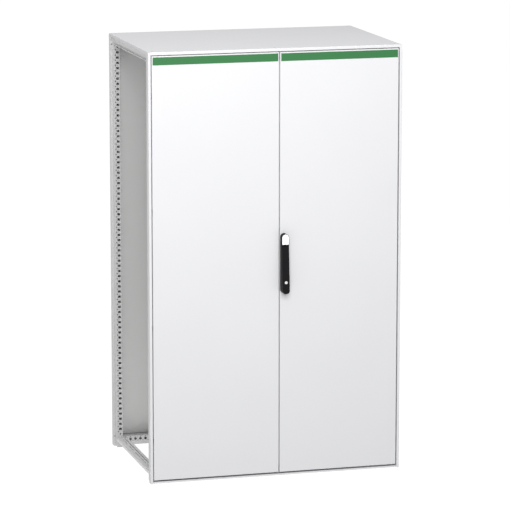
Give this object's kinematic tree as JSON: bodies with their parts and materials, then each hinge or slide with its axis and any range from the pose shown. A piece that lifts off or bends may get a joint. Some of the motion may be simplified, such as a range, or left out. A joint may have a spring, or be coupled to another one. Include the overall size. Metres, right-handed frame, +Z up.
{
  "type": "industrial switchboard cabinet",
  "caption": "Tall floor-standing switchboard cabinet with a perforated frame, a roof, a rear panel and two hinged front doors, one with a swing-lever lock.",
  "frame": {"origin": "on the floor, at the centre of the four floor-bolt holes, which is the centre of the cabinet's plan", "axes": "+Z up, -Y out of the doors, +X to the right of someone facing the doors"},
  "size_m": [1.2, 0.8456, 2],
  "materials": {
    "door_enamel": "satin pale grey enamel",
    "frame_enamel": "satin light grey enamel",
    "roof_enamel": "satin light grey enamel",
    "rear_enamel": "satin grey enamel",
    "band_green": "satin green film",
    "strip_grey": "matte grey profile",
    "seal_rubber": "matte foamed seal",
    "guide_nylon": "matte nylon",
    "zinc_steel": "bright zinc plating",
    "handle_black": "matte black",
    "cap_white": "smooth white",
    "lock_metal": "satin nickel"
  },
  "bodies": {
    "frame": {"front_left_upright": "frame_enamel", "front_right_upright": "frame_enamel", "rear_left_upright": "frame_enamel", "rear_right_upright": "frame_enamel", "base_corner_front_left": "frame_enamel", "base_corner_front_right": "frame_enamel", "base_corner_rear_left": "frame_enamel", "base_corner_rear_right": "frame_enamel", "top_corner_front_left": "frame_enamel", "top_corner_front_right": "frame_enamel", "top_corner_rear_left": "frame_enamel", "top_corner_rear_right": "frame_enamel", "base_rail_front": "frame_enamel", "base_rail_rear": "frame_enamel", "base_rail_left": "frame_enamel", "base_rail_right": "frame_enamel", "top_rail_front": "frame_enamel", "top_rail_rear": "frame_enamel", "top_rail_left": "frame_enamel", "top_rail_right": "frame_enamel", "trim_left": "door_enamel", "trim_right": "door_enamel", "trim_top": "door_enamel", "trim_bottom": "door_enamel", "roof_panel": "roof_enamel", "roof_seal": "seal_rubber", "roof_screws": "zinc_steel", "rear_panel": "rear_enamel", "rear_panel_seal": "seal_rubber", "rear_panel_screws": "zinc_steel", "frame_hinge_leaves": "zinc_steel", "rod_keepers": "zinc_steel"},
    "left_door": {"left_door_panel": "door_enamel", "left_door_band": "band_green", "left_door_stiffener": "frame_enamel", "left_door_seal": "seal_rubber", "left_door_hinge_leaves": "zinc_steel", "left_hinge_pins": "zinc_steel", "centre_seal_strip": "strip_grey", "left_bolt_guides": "guide_nylon"},
    "left_upper_bolt": {"left_upper_bolt": "zinc_steel"},
    "left_lower_bolt": {"left_lower_bolt": "zinc_steel"},
    "right_door": {"right_door_panel": "door_enamel", "right_door_band": "band_green", "right_door_stiffener": "frame_enamel", "right_door_seal": "seal_rubber", "right_door_hinge_leaves": "zinc_steel", "right_hinge_pins": "zinc_steel", "handle_base": "handle_black", "gear_case": "zinc_steel", "rod_guides": "guide_nylon"},
    "handle": {"spindle_pinion": "zinc_steel", "handle_head": "handle_black", "handle_cap": "cap_white", "lever_pivot_pin": "zinc_steel"},
    "lever": {"handle_lever": "handle_black"},
    "lock": {"lock_cylinder": "lock_metal"},
    "upper_rod": {"upper_rod": "zinc_steel"},
    "lower_rod": {"lower_rod": "zinc_steel"}
  },
  "joints": [
    {"name": "left_door_hinge", "type": "hinge", "parent": "frame", "child": "left_door", "pos_m": [-0.578, -0.394, 1], "axis": [0, 0, -1], "range_deg": [0, 115]},
    {"name": "right_door_hinge", "type": "hinge", "parent": "frame", "child": "right_door", "pos_m": [0.578, -0.394, 1], "axis": [0, 0, 1], "range_deg": [0, 115]},
    {"name": "left_upper_bolt_slide", "type": "slide", "parent": "left_door", "child": "left_upper_bolt", "axis": [0, 0, -1], "range_m": [0, 0.015]},
    {"name": "left_lower_bolt_slide", "type": "slide", "parent": "left_door", "child": "left_lower_bolt", "axis": [0, 0, 1], "range_m": [0, 0.015]},
    {"name": "handle_turn", "type": "hinge", "parent": "right_door", "child": "handle", "pos_m": [0.035, -0.41, 1.13], "axis": [0, -1, 0], "range_deg": [0, 90]},
    {"name": "lever_lift", "type": "hinge", "parent": "handle", "child": "lever", "pos_m": [0.035, -0.419, 1.099], "axis": [-1, 0, 0], "range_deg": [0, 45]},
    {"name": "lock_turn", "type": "hinge", "parent": "lever", "child": "lock", "pos_m": [0.035, -0.44, 0.923], "axis": [0, -1, 0], "range_deg": [0, 90]},
    {"name": "upper_rod_slide", "type": "slide", "parent": "right_door", "child": "upper_rod", "axis": [0, 0, -1], "range_m": [0, 0.0126]},
    {"name": "lower_rod_slide", "type": "slide", "parent": "right_door", "child": "lower_rod", "axis": [0, 0, 1], "range_m": [0, 0.0126]}
  ],
  "couplings": [
    {"joint": "upper_rod_slide", "follows": "handle_turn", "m_per_rad": 0.008},
    {"joint": "lower_rod_slide", "follows": "handle_turn", "m_per_rad": 0.008}
  ]
}
